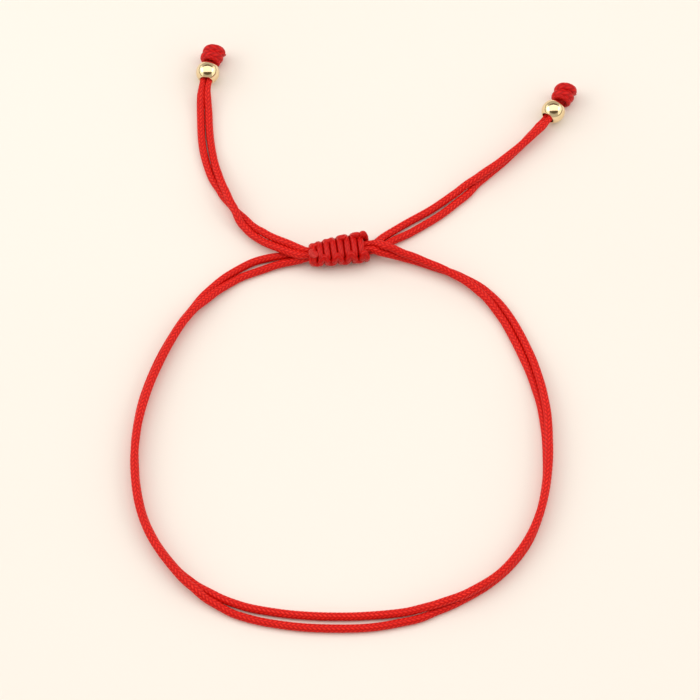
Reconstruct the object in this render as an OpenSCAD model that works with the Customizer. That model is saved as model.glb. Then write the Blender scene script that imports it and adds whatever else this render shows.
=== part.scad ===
// Adjustable cord bracelet: two braided cords side by side make the wrist loop,
// a tied row of wraps slides on them, and each pair of tails ends in a gold bead and a
// stopper knot. It lies flat, the wrist's axis is Z and the tails point to +Y.

/* [Cord] */
// Diameter of the braided cord where it lies free
cord_d = 1.3; // [1.2:0.05:1.3]
// Diameter of a strand where the sliding knot squeezes it
core_d = 0.95; // [0.85:0.05:0.95]
// Diameter of a strand where it is threaded through a bead
threaded_d = 1; // [0.9:0.05:1]

/* [Sliding knot] */
// Diameter of the knotted cord, pulled tight
wrap_d = 1.1; // [1:0.05:1.1]
// Wraps that show side by side on top of the knot
knot_wraps = 8; // [6:1:8]
// Length of the whole knot
knot_l = 10.9; // [10.8:0.05:11.2]

/* [Beads and stopper knots] */
// Outer diameter of a bead
bead_d = 4.1; // [3.9:0.1:4.3]
// Length of a bead along its bore
bead_l = 3.3; // [3:0.1:3.4]
// Bore of a bead, wide enough for two strands
bead_bore_d = 2.2; // [2.15:0.05:2.4]
// Width of the left stopper knot over its wraps
left_stopper_w = 3.95; // [3.8:0.05:4.1]
// Length of the left stopper knot
left_stopper_l = 3.9; // [3.8:0.05:4]
// Width of the right stopper knot over its wraps
right_stopper_w = 3.9; // [3.8:0.05:4.1]
// Length of the right stopper knot
right_stopper_l = 3.95; // [3.8:0.05:4.1]

/* [Hidden] */

sides = 8;          // flats round a cord
play = 0.05;        // gap that is left between pieces
rest_gap = cord_d + play;         // between the centres of two strands side by side
thread_gap = threaded_d + play;   // the same inside a bead
core_gap = core_d + play;         // the same inside the sliding knot
bead_z = bead_d/2;

// The sliding knot: its pitch from wrap to wrap, its middle and the way that it points.
// The cord reaches a share of a pitch past the first wrap's top and the last one's.
knot_turns = knot_wraps - 1;
knot_lead = 0.6;
knot_tail = 0.9;
knot_pitch = (knot_l - wrap_d)/(knot_turns + knot_lead + knot_tail);
core_half = core_gap/2 + core_d/2 + play;   // half of the four strands' square
knot_at = [-3.5, 13.2, core_half + wrap_d + play];
knot_heading = atan2(1, 8);
upper_lift = knot_at.z + core_gap/2 - core_d/2;
lower_lift = knot_at.z - core_gap/2 - core_d/2;

// The strands are straight from knot_left_x to knot_right_x, in line with the knot
knot_left_x = -8.5;
knot_right_x = 1.5;
knot_left_y = knot_at.y + (knot_left_x - knot_at.x)*tan(knot_heading);
knot_right_y = knot_at.y + (knot_right_x - knot_at.x)*tan(knot_heading);

// Each bead holds the pair turned by an angle, with its middle in the bore's
left_turn = 0;
right_turn = 860;
function thread_lift(turn) = bead_z - threaded_d/2 - abs(sin(turn))*thread_gap/2;
left_lift = thread_lift(left_turn);
right_lift = thread_lift(right_turn);

// The way of the pair of strands, from the left stopper knot to the right one.
// x, y: middle of the pair. lift: height of its underside. gap: between the two
// centres. turn: angle of strand a round the middle, 0 on the left of the way and
// 90 on top. d: diameter. held: 1 where a bead or the knot keeps the pair straight.
X = 0;
Y = 1;
LIFT = 2;
GAP = 3;
TURN = 4;
DIA = 5;
HELD = 6;
pair_route = [
    // x, y, lift, gap, turn, d, held
    [-26.2,         49.9, left_lift,  thread_gap, left_turn,  threaded_d, 1],
    [-26.9,         45.7, left_lift,  thread_gap, left_turn,  threaded_d, 1],
    [-26.9,         40.1, 0.1,        1.4,        0,          cord_d,     0],
    [-26.4,         34.2, 0,          1.5,        0,          cord_d,     0],
    [-25.2,         29.2, 0,          1.4,        25,         cord_d,     0],
    [-23.5,         25.3, 0,          rest_gap,   62,         cord_d,     0],
    [-21.6,         22.0, 0,          rest_gap,   98,         cord_d,     0],
    [-19.4,         18.8, 0.2,        rest_gap,   158,        cord_d,     0],
    [-16.6,         16.2, 0.9,        1.4,        190,        cord_d,     0],
    [-12.4,        13.75, 1.8,        1.35,       185,        cord_d,     0],
    [knot_left_x, knot_left_y, upper_lift, core_gap, 180, core_d, 1],
    [knot_right_x, knot_right_y, upper_lift, core_gap, 180, core_d, 1],
    [  4.5,         13.1, 1.4,        1.45,       240,        cord_d,     0],
    [  8.0,        12.25, 0.5,        rest_gap,   265,        cord_d,     0],
    [ 12.2,         10.8, 0.1,        rest_gap,   281,        cord_d,     0],
    [ 16.8,         8.75, 0,          rest_gap,   304,        cord_d,     0],
    [ 20.8,          5.9, 0,          rest_gap,   328,        cord_d,     0],
    [ 24.2,          1.7, 0,          rest_gap,   356,        cord_d,     0],
    [ 26.9,         -3.9, 0,          rest_gap,   371,        cord_d,     0],
    [ 28.9,         -9.6, 0,          rest_gap,   400,        cord_d,     0],
    [ 30.2,        -15.5, 0,          rest_gap,   418,        cord_d,     0],
    [ 30.6,        -22.0, 0,          rest_gap,   434,        cord_d,     0],
    [ 30.2,        -28.5, 0,          rest_gap,   446,        cord_d,     0],
    [ 28.8,        -34.4, 0,          rest_gap,   448,        cord_d,     0],
    [ 26.3,        -39.7, 0,          rest_gap,   456,        cord_d,     0],
    [ 22.3,        -44.4, 0,          rest_gap,   451,        cord_d,     0],
    [ 17.4,        -47.7, 0,          rest_gap,   460,        cord_d,     0],
    [ 12.6,        -49.8, 0,          rest_gap,   483,        cord_d,     0],
    [  7.6,        -51.3, 0,          1.5,        528,        cord_d,     0],
    [  0.5,        -52.2, 0,          2,          540,        cord_d,     0],
    [ -7.5,        -52.2, 0,          2,          540,        cord_d,     0],
    [-14.0,        -51.5, 0,          1.9,        540,        cord_d,     0],
    [-19.2,        -50.3, 0,          1.7,        540,        cord_d,     0],
    [-23.4,        -48.4, 0,          1.4,        556,        cord_d,     0],
    [-27.0,        -46.0, 0,          rest_gap,   594,        cord_d,     0],
    [-30.0,        -43.1, 0,          rest_gap,   612,        cord_d,     0],
    [-33.4,        -38.3, 0,          rest_gap,   617,        cord_d,     0],
    [-35.6,        -33.0, 0,          rest_gap,   622,        cord_d,     0],
    [-36.7,        -26.5, 0,          rest_gap,   628,        cord_d,     0],
    [-36.7,        -20.0, 0,          rest_gap,   640,        cord_d,     0],
    [-35.5,        -13.2, 0,          rest_gap,   652,        cord_d,     0],
    [-33.2,         -6.6, 0,          rest_gap,   656,        cord_d,     0],
    [-30.5,         -1.1, 0,          rest_gap,   652,        cord_d,     0],
    [-28.3,          2.2, 0,          rest_gap,   655,        cord_d,     0],
    [-25.3,          5.7, 0,          rest_gap,   692,        cord_d,     0],
    [-21.5,          8.9, 0,          1.5,        716,        cord_d,     0],
    [-17.2,         11.1, 0,          1.9,        722,        cord_d,     0],
    [-12.4,         12.3, 0.3,        1.4,        720,        cord_d,     0],
    [knot_left_x, knot_left_y, lower_lift, core_gap, 720, core_d, 1],
    [knot_right_x, knot_right_y, lower_lift, core_gap, 720, core_d, 1],
    [  4.8,         16.1, 0.3,        1.5,        720,        cord_d,     0],
    [  8.4,         18.4, 0,          1.9,        720,        cord_d,     0],
    [ 12.8,         21.2, 0,          1.75,       722,        cord_d,     0],
    [ 16.9,         24.4, 0,          1.45,       737,        cord_d,     0],
    [ 20.5,         27.5, 0,          rest_gap,   795,        cord_d,     0],
    [ 24.1,         30.5, 0,          rest_gap,   811,        cord_d,     0],
    [ 27.4,         33.6, 0.1,        rest_gap,   826,        cord_d,     0],
    [ 30.0,         36.2, 0.5,        rest_gap,   838,        cord_d,     0],
    [ 32.0,         38.4, right_lift, thread_gap, right_turn, threaded_d, 1],
    [ 34.6,         41.8, right_lift, thread_gap, right_turn, threaded_d, 1]
];
last = len(pair_route) - 1;
free_steps = 2;     // rings to a stretch of the way that bends
held_steps = 1;     // rings to a straight stretch

// Beads: where each one sits and the way that its bore points, away from the knot
bead_left_at = [-26.5, 48.2, bead_z];
bead_left_heading = atan2(4.2, 0.7);
bead_right_at = [33.5, 40.4, bead_z];
bead_right_heading = atan2(3.4, 2.6);
bead_facets = 64;

// One turn of the knotting cord round the core: over it, down the far side, back under
// it and up the near side. along: in pitches. side and level: in half widths of the
// core. out and up: in cord diameters beyond the core. bump: how much further up the
// cord stands, in its diameters, in each second turn, where it passes over a tuck.
turn_rows = [
    // along, side, out, level, up, bump
    [0.00,  0, 0.00,  1,  0.50, 0.15],
    [0.03,  1, 0.25,  1,  0.25, 0.85],
    [0.12,  1, 0.50,  0,  0.00, 0.00],
    [0.30,  1, 0.25, -1, -0.25, 0.00],
    [0.50,  0, 0.00, -1, -0.50, 0.00],
    [0.70, -1, 0.25, -1, -0.25, 0.00],
    [0.88, -1, 0.50,  0,  0.00, 0.00],
    [0.97, -1, 0.25,  1,  0.25, 0.85]
];
// It starts under the right end, and ends cut off at the near side of the left end
first_rows = [
    // along, side, out, level, up, bump
    [-knot_lead, 0.5, 0.00, -1, -0.50, 0],
    [-0.50,  0, 0.00, -1, -0.50, 0],
    [-0.30, -1, 0.25, -1, -0.25, 0],
    [-0.12, -1, 0.50,  0,  0.00, 0],
    [-0.03, -1, 0.25,  1,  0.25, 0]
];
last_rows = [
    // along, side, out, level, up, bump
    [0.00,  0, 0.00,  1,  0.50, 0],
    [0.03,  1, 0.25,  1,  0.25, 0],
    [0.14,  1, 0.50,  0,  0.00, 0],
    [0.34,  1, 0.25, -1, -0.25, 0],
    [0.55,  0, 0.00, -1, -0.50, 0],
    [0.76, -1, 0.25, -1, -0.25, 0],
    [0.88, -1, 0.60,  0,  0.00, 0],
    [knot_tail, -1, 1.20, 0.3, 0, 0]
];

function unit(v) = v/norm(v);
function ease(t) = t*t*(3 - 2*t);
function blend(a, b, t) = a + (b - a)*t;
function place(i) = [pair_route[i][X], pair_route[i][Y]];
function held(i) = pair_route[i][HELD] == 1;

// Direction of a straight stretch at one of its two ends
function straight(i) = (i < last && held(i + 1))
    ? unit(place(i + 1) - place(i)) : unit(place(i) - place(i - 1));
function slope(i, length) = held(i) ? straight(i)*length
    : (place(i + 1) - place(i - 1))/2;

// Cubic through two places with given slopes, and its derivative
function cubic(p, q, m, n, t) = (2*t*t*t - 3*t*t + 1)*p + (t*t*t - 2*t*t + t)*m
    + (3*t*t - 2*t*t*t)*q + (t*t*t - t*t)*n;
function cubic_run(p, q, m, n, t) = (6*t*t - 6*t)*p + (3*t*t - 4*t + 1)*m
    + (6*t - 6*t*t)*q + (3*t*t - 2*t)*n;

// One strand's centre and diameter on stretch i, at t from 0 to 1.
// side is 1 for strand a and -1 for strand b.
function strand_at(i, t, side) =
    let (p = place(i), q = place(i + 1), length = norm(q - p),
         m = slope(i, length), n = slope(i + 1, length),
         middle = cubic(p, q, m, n, t), run = unit(cubic_run(p, q, m, n, t)),
         row = blend(pair_route[i], pair_route[i + 1], ease(t)),
         turn = row[TURN], reach = side*row[GAP]/2,
         z = row[LIFT] + row[DIA]/2 + abs(sin(turn))*row[GAP]/2 + reach*sin(turn))
    [middle.x - run.y*reach*cos(turn), middle.y + run.x*reach*cos(turn), z, row[DIA]];

function strand_stations(side) = [
    for (i = [0:last - 1])
        let (steps = held(i) && held(i + 1) ? held_steps : free_steps)
        for (k = [0:steps - 1]) strand_at(i, k/steps, side),
    strand_at(last - 1, 1, side)
];

// A smooth line through points [x, y, z, d], with a number of steps between each two
function smooth(rows, steps) = [
    for (i = [0:len(rows) - 2]) for (k = [0:steps - 1])
        let (p = rows[i], q = rows[i + 1],
             before = i > 0 ? rows[i - 1] : p, after = i < len(rows) - 2 ? rows[i + 2] : q)
        cubic(p, q, (q - before)/2, (after - p)/2, k/steps),
    rows[len(rows) - 1]
];

// The rings of a cord through stations [x, y, z, d]: each is square to the way and
// carried along it without twist
function centre(s) = [s.x, s.y, s.z];
function heading_at(s, i) = unit(centre(s[min(i + 1, len(s) - 1)]) - centre(s[max(i - 1, 0)]));
function carried(v, run) = unit(v - (v*run)*run);
function first_side(run) = abs(run.z) < 0.9 ? unit(cross([0, 0, 1], run)) : [1, 0, 0];
function ring_sides(s) = [
    for (i = 0, v = first_side(heading_at(s, 0)); i < len(s);
         i = i + 1, v = carried(v, heading_at(s, min(i, len(s) - 1)))) v
];
function ring_points(s, stagger) =
    let (rings = ring_sides(s))
    [
        for (i = [0:len(s) - 1])
            let (run = heading_at(s, i), v = carried(rings[i], run), up = cross(run, v))
            for (k = [0:sides - 1])
                let (a = 360*(k + stagger*(i % 2)/2)/sides)
                centre(s[i]) + s[i][3]/2*(cos(a)*v + sin(a)*up)
    ];

// The faces of a tube of a number of rings: two flat ends and two triangles to each
// side. Where every second ring is turned by half a side, they lean with the rings.
function tube_faces(rings, stagger) = concat(
    [[for (k = [0:sides - 1]) k], [for (k = [sides - 1:-1:0]) (rings - 1)*sides + k]],
    [
        for (i = [0:rings - 2]) for (k = [0:sides - 1])
            let (a = i*sides + k, b = i*sides + (k + 1) % sides, leans = stagger*((i + 1) % 2))
            each leans == 1 ? [[a, a + sides, b], [b, a + sides, b + sides]]
                : [[a, a + sides, b + sides], [a, b + sides, b]]
    ]);

// A cord through stations [x, y, z, d]. stagger = 1 where it is joined with another.
module cord(s, stagger = 0) {
    polyhedron(ring_points(s, stagger), tube_faces(len(s), stagger), convexity = 10);
}

module strand_a() {
    color([0.85, 0.07, 0.06]) cord(strand_stations(1));
}

module strand_b() {
    color([0.85, 0.07, 0.06]) cord(strand_stations(-1));
}

// A row as a point of the turn that starts n pitches from the right end. The bump is on
// the far side in one turn and on the near side in the next.
function knot_point(row, n) =
    let (bump_side = n % 2 == 0 ? 1 : -1, bump = row[1]*bump_side < 0 ? 0 : row[5])
    [
        (knot_l - wrap_d)/2 - (knot_lead + n + row[0])*knot_pitch,
        row[1]*core_half + row[1]*row[2]*wrap_d,
        row[3]*core_half + (row[4] + bump)*wrap_d,
        wrap_d
    ];
knot_steps = 2;

module sliding_knot() {
    way = concat(
        [for (row = first_rows) knot_point(row, 0)],
        [for (n = [0:knot_turns - 1]) for (row = turn_rows) knot_point(row, n)],
        [for (row = last_rows) knot_point(row, knot_turns)]);
    color([0.8, 0.06, 0.06])
        translate(knot_at) rotate([0, 0, knot_heading]) cord(smooth(way, knot_steps));
}

// A drilled ball with its ends ground flat, the bore along X
module bead(at, heading) {
    color([0.9, 0.78, 0.5])
        translate(at) rotate([0, 90, heading]) rotate_extrude($fn = bead_facets) intersection() {
            circle(d = bead_d, $fn = bead_facets);
            translate([bead_bore_d/2, -bead_l/2]) square([bead_d, bead_l]);
        }
}
module bead_left() { bead(bead_left_at, bead_left_heading); }
module bead_right() { bead(bead_right_at, bead_right_heading); }

// A stopper knot: a cord goes up through the middle and out at the side, where it is
// cut, and another is wound round it, side by side. along: in knot lengths from the
// bead. radius: in half widths, to the cord's middle. turn: in degrees round the bore.
// A fourth column is a share of the diameter, where the cord thins into the middle.
wound_d = 1.5;
through_d = 1.3;
stopper_steps = 2;
stopper_gap = 3*play;   // from the bead's face to the first wrap
right_lean = 16;        // how far the right knot leans over from its bead's bore
lean_room = 0.018;      // how much further off it sits for each degree
wound_from = 0.2;       // where the winding starts, in knot lengths
wound_turn = 0.395;     // how far one turn of it climbs, in knot lengths
wound_rows = concat(
    [[wound_from + 0.1, 0.1, -100, 0.3], [wound_from, 0.8, -45]],
    [for (t = [0:45:540]) [wound_from + wound_turn*t/360, 1, t]],
    [[wound_from + 1.5*wound_turn, 0.8, 585], [wound_from + 1.4*wound_turn, 0.1, 640, 0.3]]);
through_rows = [
    // along, radius, turn
    [0.05, 0.05, 160],
    [0.45, 0.02, 160],
    [0.75, 0.15, 175],
    [0.86, 0.60, 185],
    [0.80, 1.10, 190],
    [0.70, 1.40, 192]
];
function wound(rows, d, r, length) = [for (row = rows)
    [row[0]*length, row[1]*r*cos(row[2]), row[1]*r*sin(row[2]), d*(len(row) > 3 ? row[3] : 1)]];
module stopper(at, heading, lean, width, length, roll) {
    r = (width - wound_d)/2;
    offset = bead_l/2 + stopper_gap + abs(lean)*lean_room;
    color([0.75, 0.05, 0.06])
        translate(at) rotate([0, 0, heading]) translate([offset, 0, 0])
            rotate([roll, 0, lean]) resize([length, 0, 0]) {
                cord(smooth(wound(wound_rows, wound_d, r, length), stopper_steps), 1);
                cord(smooth(wound(through_rows, through_d, r, length), stopper_steps), 1);
            }
}
module end_knot_left() {
    stopper(bead_left_at, bead_left_heading, 0, left_stopper_w, left_stopper_l, 0);
}
module end_knot_right() {
    stopper(bead_right_at, bead_right_heading, right_lean, right_stopper_w,
            right_stopper_l, 15);
}

strand_a();
strand_b();
sliding_knot();
bead_left();
bead_right();
end_knot_left();
end_knot_right();
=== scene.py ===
# %% [markdown]
# # Dressing a braided cord bracelet
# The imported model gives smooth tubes, drilled balls and a wound coil, all in the right
# places. A real bracelet of this kind shows much more: the braid of its cords, the
# square knots of its closure, melted cord ends and polished beads. This lesson makes
# each of them as its own mesh, on the same routes as the solids, and then gives every
# surface a material of shader nodes.
# The frame comes first, and everything after it uses its axes. The tables are in
# millimetres, and `MM` turns them into the metres of the frame.

# %% Load the frame
import math

import bpy
import numpy as np
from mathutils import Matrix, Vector


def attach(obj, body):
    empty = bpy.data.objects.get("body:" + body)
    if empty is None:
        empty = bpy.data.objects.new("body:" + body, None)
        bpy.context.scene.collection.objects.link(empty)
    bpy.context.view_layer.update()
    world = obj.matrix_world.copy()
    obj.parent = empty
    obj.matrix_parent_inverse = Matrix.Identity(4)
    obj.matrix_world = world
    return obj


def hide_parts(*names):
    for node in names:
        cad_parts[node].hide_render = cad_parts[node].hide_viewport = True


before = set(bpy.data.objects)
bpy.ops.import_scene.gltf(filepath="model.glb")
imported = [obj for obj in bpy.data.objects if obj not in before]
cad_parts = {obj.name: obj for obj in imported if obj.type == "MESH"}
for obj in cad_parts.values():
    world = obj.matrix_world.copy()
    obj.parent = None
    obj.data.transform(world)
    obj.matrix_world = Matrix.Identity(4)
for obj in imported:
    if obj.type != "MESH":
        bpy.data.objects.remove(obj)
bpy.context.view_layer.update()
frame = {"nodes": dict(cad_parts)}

MM = 0.001
print("nodes:", ", ".join(frame["nodes"]))

# %% [markdown]
# ## Camera
# The bracelet lies flat and is seen from above and a little from the front. A long
# lens, far away, keeps near and far cord almost the same width. The distance is chosen
# so that the frame is as wide as the loop with a margin at each side.

# %% Make the camera
VIEW_ELEVATION = math.radians(65)
VIEW_DISTANCE = 437.5 * MM
AIM = Vector((-1.7, -4.25, 0)) * MM

camera_data = bpy.data.cameras.new("long_lens")
camera_data.lens = 135
camera_data.sensor_width = 36
camera_data.clip_start = 0.01
camera_data.clip_end = 20
camera = bpy.data.objects.new("camera", camera_data)
back = Vector((0, -math.cos(VIEW_ELEVATION), math.sin(VIEW_ELEVATION)))
camera.location = AIM + back * VIEW_DISTANCE
camera.rotation_euler = (math.pi / 2 - VIEW_ELEVATION, 0, 0)
bpy.context.scene.collection.objects.link(camera)
bpy.context.scene.camera = camera
print("camera at", [round(v, 4) for v in camera.location])

# %% [markdown]
# ## Sizes
# The cord is 1.3 mm thick. Where the knot grips it or a bead holds it, it is squeezed
# thinner, and the knotting cord is thinner too, because it is pulled tight. These few
# sizes, in millimetres, are the solids' own, and all the shapes below use them.

# %% Sizes of cord, beads and knot
CORD_D = 1.3
CORE_D = 0.95
THREAD_D = 1.0
PLAY = 0.05
WRAP_D = 1.1
BEAD_D = 4.1
BEAD_L = 3.3
BORE_D = 2.2

SNUG = CORD_D + PLAY
THREAD_GAP = THREAD_D + PLAY
CORE_GAP = CORE_D + PLAY
CORE_HALF = CORE_GAP / 2 + CORE_D / 2 + PLAY
KNOT_AT = (-3.5, 13.2, CORE_HALF + WRAP_D + PLAY)
KNOT_RUN = 1 / 8
# how far the pair runs straight on each side of the knot's middle
KNOT_REACH = 5
KNOT_LEFT_X = KNOT_AT[0] - KNOT_REACH
KNOT_RIGHT_X = KNOT_AT[0] + KNOT_REACH
KNOT_LEFT_Y = KNOT_AT[1] - KNOT_REACH * KNOT_RUN
KNOT_RIGHT_Y = KNOT_AT[1] + KNOT_REACH * KNOT_RUN
UPPER_LIFT = KNOT_AT[2] + CORE_GAP / 2 - CORE_D / 2
LOWER_LIFT = KNOT_AT[2] - CORE_GAP / 2 - CORE_D / 2
print(f"the knot's middle is {KNOT_AT[2]:.2f} mm above the floor")

# %% [markdown]
# ## The way of the two cords
# Two cords run side by side from one stopper knot to the other. One could draw a curve
# for each, but they would have to be kept apart by hand. Here the table gives the way
# of the pair, and both cords follow it: how far apart they are, and how far the pair
# has turned about its own middle. It repeats the solids' route in millimetres, so that
# the middle of each cord lies where its solid's does.

# %% Route of the pair
# How far the pair is turned in each bead. It is centred in the bore.
LEFT_THREAD_TURN = 0
RIGHT_THREAD_TURN = 860


def thread_lift(turn):
    """How high the pair's underside is where a bead's bore holds it."""
    return BEAD_D / 2 - THREAD_D / 2 - abs(math.sin(math.radians(turn))) * THREAD_GAP / 2


LEFT_LIFT = thread_lift(LEFT_THREAD_TURN)
RIGHT_LIFT = thread_lift(RIGHT_THREAD_TURN)

# x, y, turn in degrees, height of the underside, gap between centres, diameter, and 1
# where a bead or the knot holds the pair straight. What a row leaves out is as it is
# when the cords lie side by side on the floor.
ON_FLOOR = (0, SNUG, CORD_D, 0)
ROUTE_ROWS = (
    (-26.2, 49.9, LEFT_THREAD_TURN, LEFT_LIFT, THREAD_GAP, THREAD_D, 1),
    (-26.9, 45.7, LEFT_THREAD_TURN, LEFT_LIFT, THREAD_GAP, THREAD_D, 1),
    (-26.9, 40.1, 0, 0.1, 1.4),
    (-26.4, 34.2, 0, 0, 1.5),
    (-25.2, 29.2, 25, 0, 1.4),
    (-23.5, 25.3, 62),
    (-21.6, 22.0, 98),
    (-19.4, 18.8, 158, 0.2),
    (-16.6, 16.2, 190, 0.9, 1.4),
    (-12.4, 13.75, 185, 1.8, 1.35),
    (KNOT_LEFT_X, KNOT_LEFT_Y, 180, UPPER_LIFT, CORE_GAP, CORE_D, 1),
    (KNOT_RIGHT_X, KNOT_RIGHT_Y, 180, UPPER_LIFT, CORE_GAP, CORE_D, 1),
    (4.5, 13.1, 240, 1.4, 1.45),
    (8.0, 12.25, 265, 0.5),
    (12.2, 10.8, 281, 0.1),
    (16.8, 8.75, 304),
    (20.8, 5.9, 328),
    (24.2, 1.7, 356),
    (26.9, -3.9, 371),
    (28.9, -9.6, 400),
    (30.2, -15.5, 418),
    (30.6, -22.0, 434),
    (30.2, -28.5, 446),
    (28.8, -34.4, 448),
    (26.3, -39.7, 456),
    (22.3, -44.4, 451),
    (17.4, -47.7, 460),
    (12.6, -49.8, 483),
    (7.6, -51.3, 528, 0, 1.5),
    (0.5, -52.2, 540, 0, 2),
    (-7.5, -52.2, 540, 0, 2),
    (-14.0, -51.5, 540, 0, 1.9),
    (-19.2, -50.3, 540, 0, 1.7),
    (-23.4, -48.4, 556, 0, 1.4),
    (-27.0, -46.0, 594),
    (-30.0, -43.1, 612),
    (-33.4, -38.3, 617),
    (-35.6, -33.0, 622),
    (-36.7, -26.5, 628),
    (-36.7, -20.0, 640),
    (-35.5, -13.2, 652),
    (-33.2, -6.6, 656),
    (-30.5, -1.1, 652),
    (-28.3, 2.2, 655),
    (-25.3, 5.7, 692),
    (-21.5, 8.9, 716, 0, 1.5),
    (-17.2, 11.1, 722, 0, 1.9),
    (-12.4, 12.3, 720, 0.3, 1.4),
    (KNOT_LEFT_X, KNOT_LEFT_Y, 720, LOWER_LIFT, CORE_GAP, CORE_D, 1),
    (KNOT_RIGHT_X, KNOT_RIGHT_Y, 720, LOWER_LIFT, CORE_GAP, CORE_D, 1),
    (4.8, 16.1, 720, 0.3, 1.5),
    (8.4, 18.4, 720, 0, 1.9),
    (12.8, 21.2, 722, 0, 1.75),
    (16.9, 24.4, 737, 0, 1.45),
    (20.5, 27.5, 795),
    (24.1, 30.5, 811),
    (27.4, 33.6, 826, 0.1),
    (30.0, 36.2, 838, 0.5),
    (32.0, 38.4, RIGHT_THREAD_TURN, RIGHT_LIFT, THREAD_GAP, THREAD_D, 1),
    (34.6, 41.8, RIGHT_THREAD_TURN, RIGHT_LIFT, THREAD_GAP, THREAD_D, 1),
)
PAIR_ROUTE = np.array([row + ON_FLOOR[len(row) - 3:] for row in ROUTE_ROWS])
TURN, LIFT, GAP, DIAMETER, HELD = range(2, 7)
print(len(PAIR_ROUTE), "rows in the route")

# %% [markdown]
# ### From the route to two lines
# Between two rows the way is a cubic, so it has no corners. A row that a bead or the
# knot holds keeps the heading of its straight piece. The other numbers ease from row to
# row, but the thickness recovers faster: cord that leaves a tight place is full again
# after a few millimetres. `FULLER` makes up for the grooves of the braid, which lie
# below the smooth surface of the solids.

# %% Follow the route
ROUTE_STEPS = 24
RECOVERY = 2.2
FULLER = 0.05


def unit(vector):
    return vector / np.linalg.norm(vector)


def cubic(p, q, m, n, t):
    """A cubic from p to q that leaves with slope m and arrives with slope n."""
    return ((2 * t**3 - 3 * t**2 + 1) * p + (t**3 - 2 * t**2 + t) * m
            + (3 * t**2 - 2 * t**3) * q + (t**3 - t**2) * n)


def cubic_run(p, q, m, n, t):
    """The heading of that cubic at t, not yet of unit length."""
    return ((6 * t**2 - 6 * t) * p + (3 * t**2 - 4 * t + 1) * m
            + (6 * t - 6 * t**2) * q + (3 * t**2 - 2 * t) * n)


def route_slope(i, length):
    """The slope of the way at row i, for a piece of this length."""
    places = PAIR_ROUTE[:, :2]
    if not PAIR_ROUTE[i, HELD]:
        return (places[i + 1] - places[i - 1]) / 2
    ahead = i + 1 < len(places) and PAIR_ROUTE[i + 1, HELD]
    straight = places[i + 1] - places[i] if ahead else places[i] - places[i - 1]
    return unit(straight) * length


def squeezed_share(d, e, t):
    """The share of the change in thickness at t: it all happens next to a held end."""
    t = min(t * RECOVERY, 1) if d < e else max(1 - (1 - t) * RECOVERY, 0)
    return t * t * (3 - 2 * t)


def strand_line(side):
    """Rows of x, y, z and diameter along strand a (side 1) or strand b (side -1)."""
    rows = []
    final = len(PAIR_ROUTE) - 2
    for i in range(final + 1):
        p, q = PAIR_ROUTE[i, :2], PAIR_ROUTE[i + 1, :2]
        length = np.linalg.norm(q - p)
        m, n = route_slope(i, length), route_slope(i + 1, length)
        for k in range(ROUTE_STEPS + (i == final)):
            t = k / ROUTE_STEPS
            middle = cubic(p, q, m, n, t)
            run = unit(cubic_run(p, q, m, n, t))
            row = PAIR_ROUTE[i] + (PAIR_ROUTE[i + 1] - PAIR_ROUTE[i]) * t * t * (3 - 2 * t)
            turn = math.radians(row[TURN])
            reach = side * row[GAP] / 2
            z = (row[LIFT] + row[DIAMETER] / 2 + abs(math.sin(turn)) * row[GAP] / 2
                 + reach * math.sin(turn))
            d, e = PAIR_ROUTE[i, DIAMETER], PAIR_ROUTE[i + 1, DIAMETER]
            rows.append((middle[0] - run[1] * reach * math.cos(turn),
                         middle[1] + run[0] * reach * math.cos(turn), z,
                         d + (e - d) * squeezed_share(d, e, t) + FULLER))
    return np.array(rows)


def line_length(rows):
    return float(np.linalg.norm(np.diff(rows[:, :3], axis=0), axis=1).sum())


for side, name in ((1, "a"), (-1, "b")):
    print(f"strand {name}: {line_length(strand_line(side)):.1f} mm")

# %% [markdown]
# ## A braided cord
# The cord is a tube of sixteen yarns: eight wind one way, eight the other, and each
# passes over two and under two. One could draw this with a bump texture alone, but the
# braid then vanishes at the outline and in a plain mesh. Here the yarns are real
# relief: every point of the tube asks which yarn is on top, and how high it stands.
# `around` is in turns and `along` in millimetres. `a` and `b` count the yarns of each
# direction, so a whole number is the edge between two yarns.

# %% Relief of the braid
YARNS = 8
# over two yarns and under two
REPEAT = 4
BRAID_PITCH = 0.75
WEAVE_HEIGHT = 0.016
CROWN_HEIGHT = 0.032
OUTERMOST = WEAVE_HEIGHT + CROWN_HEIGHT


def braid_relief(around, along, pitch):
    """How far the braid's surface lies under the cord's outermost yarn, in mm."""
    a = YARNS * around + along / pitch
    b = YARNS * around - along / pitch
    i, j = np.floor(a), np.floor(b)
    lift_a = np.sin(2 * np.pi * np.mod(i + b, REPEAT) / REPEAT)
    lift_b = -np.sin(2 * np.pi * np.mod(j + a, REPEAT) / REPEAT)
    crown_a = np.sqrt(np.clip(1 - (2 * (a - i) - 1) ** 2, 0, 1))
    crown_b = np.sqrt(np.clip(1 - (2 * (b - j) - 1) ** 2, 0, 1))
    top = np.maximum(WEAVE_HEIGHT * lift_a + CROWN_HEIGHT * crown_a,
                     WEAVE_HEIGHT * lift_b + CROWN_HEIGHT * crown_b)
    return OUTERMOST - top


sample = braid_relief(np.linspace(0, 1, 200)[:, None], np.linspace(0, 3, 200)[None], BRAID_PITCH)
print(f"relief from {sample.min():.3f} to {sample.max():.3f} mm")

# %% [markdown]
# ## From a line to a tube
# A tube needs a ring of points at even steps along its line, and the rings must not
# twist against each other. Each ring takes over the last ring's first direction, with
# the part along the new heading taken out, which is how a stiff cord carries itself
# round a bend. A slow, slight roll is added, because no real braid runs dead straight.

# %% Rings along a line
CURVE_STEPS = 8


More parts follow.
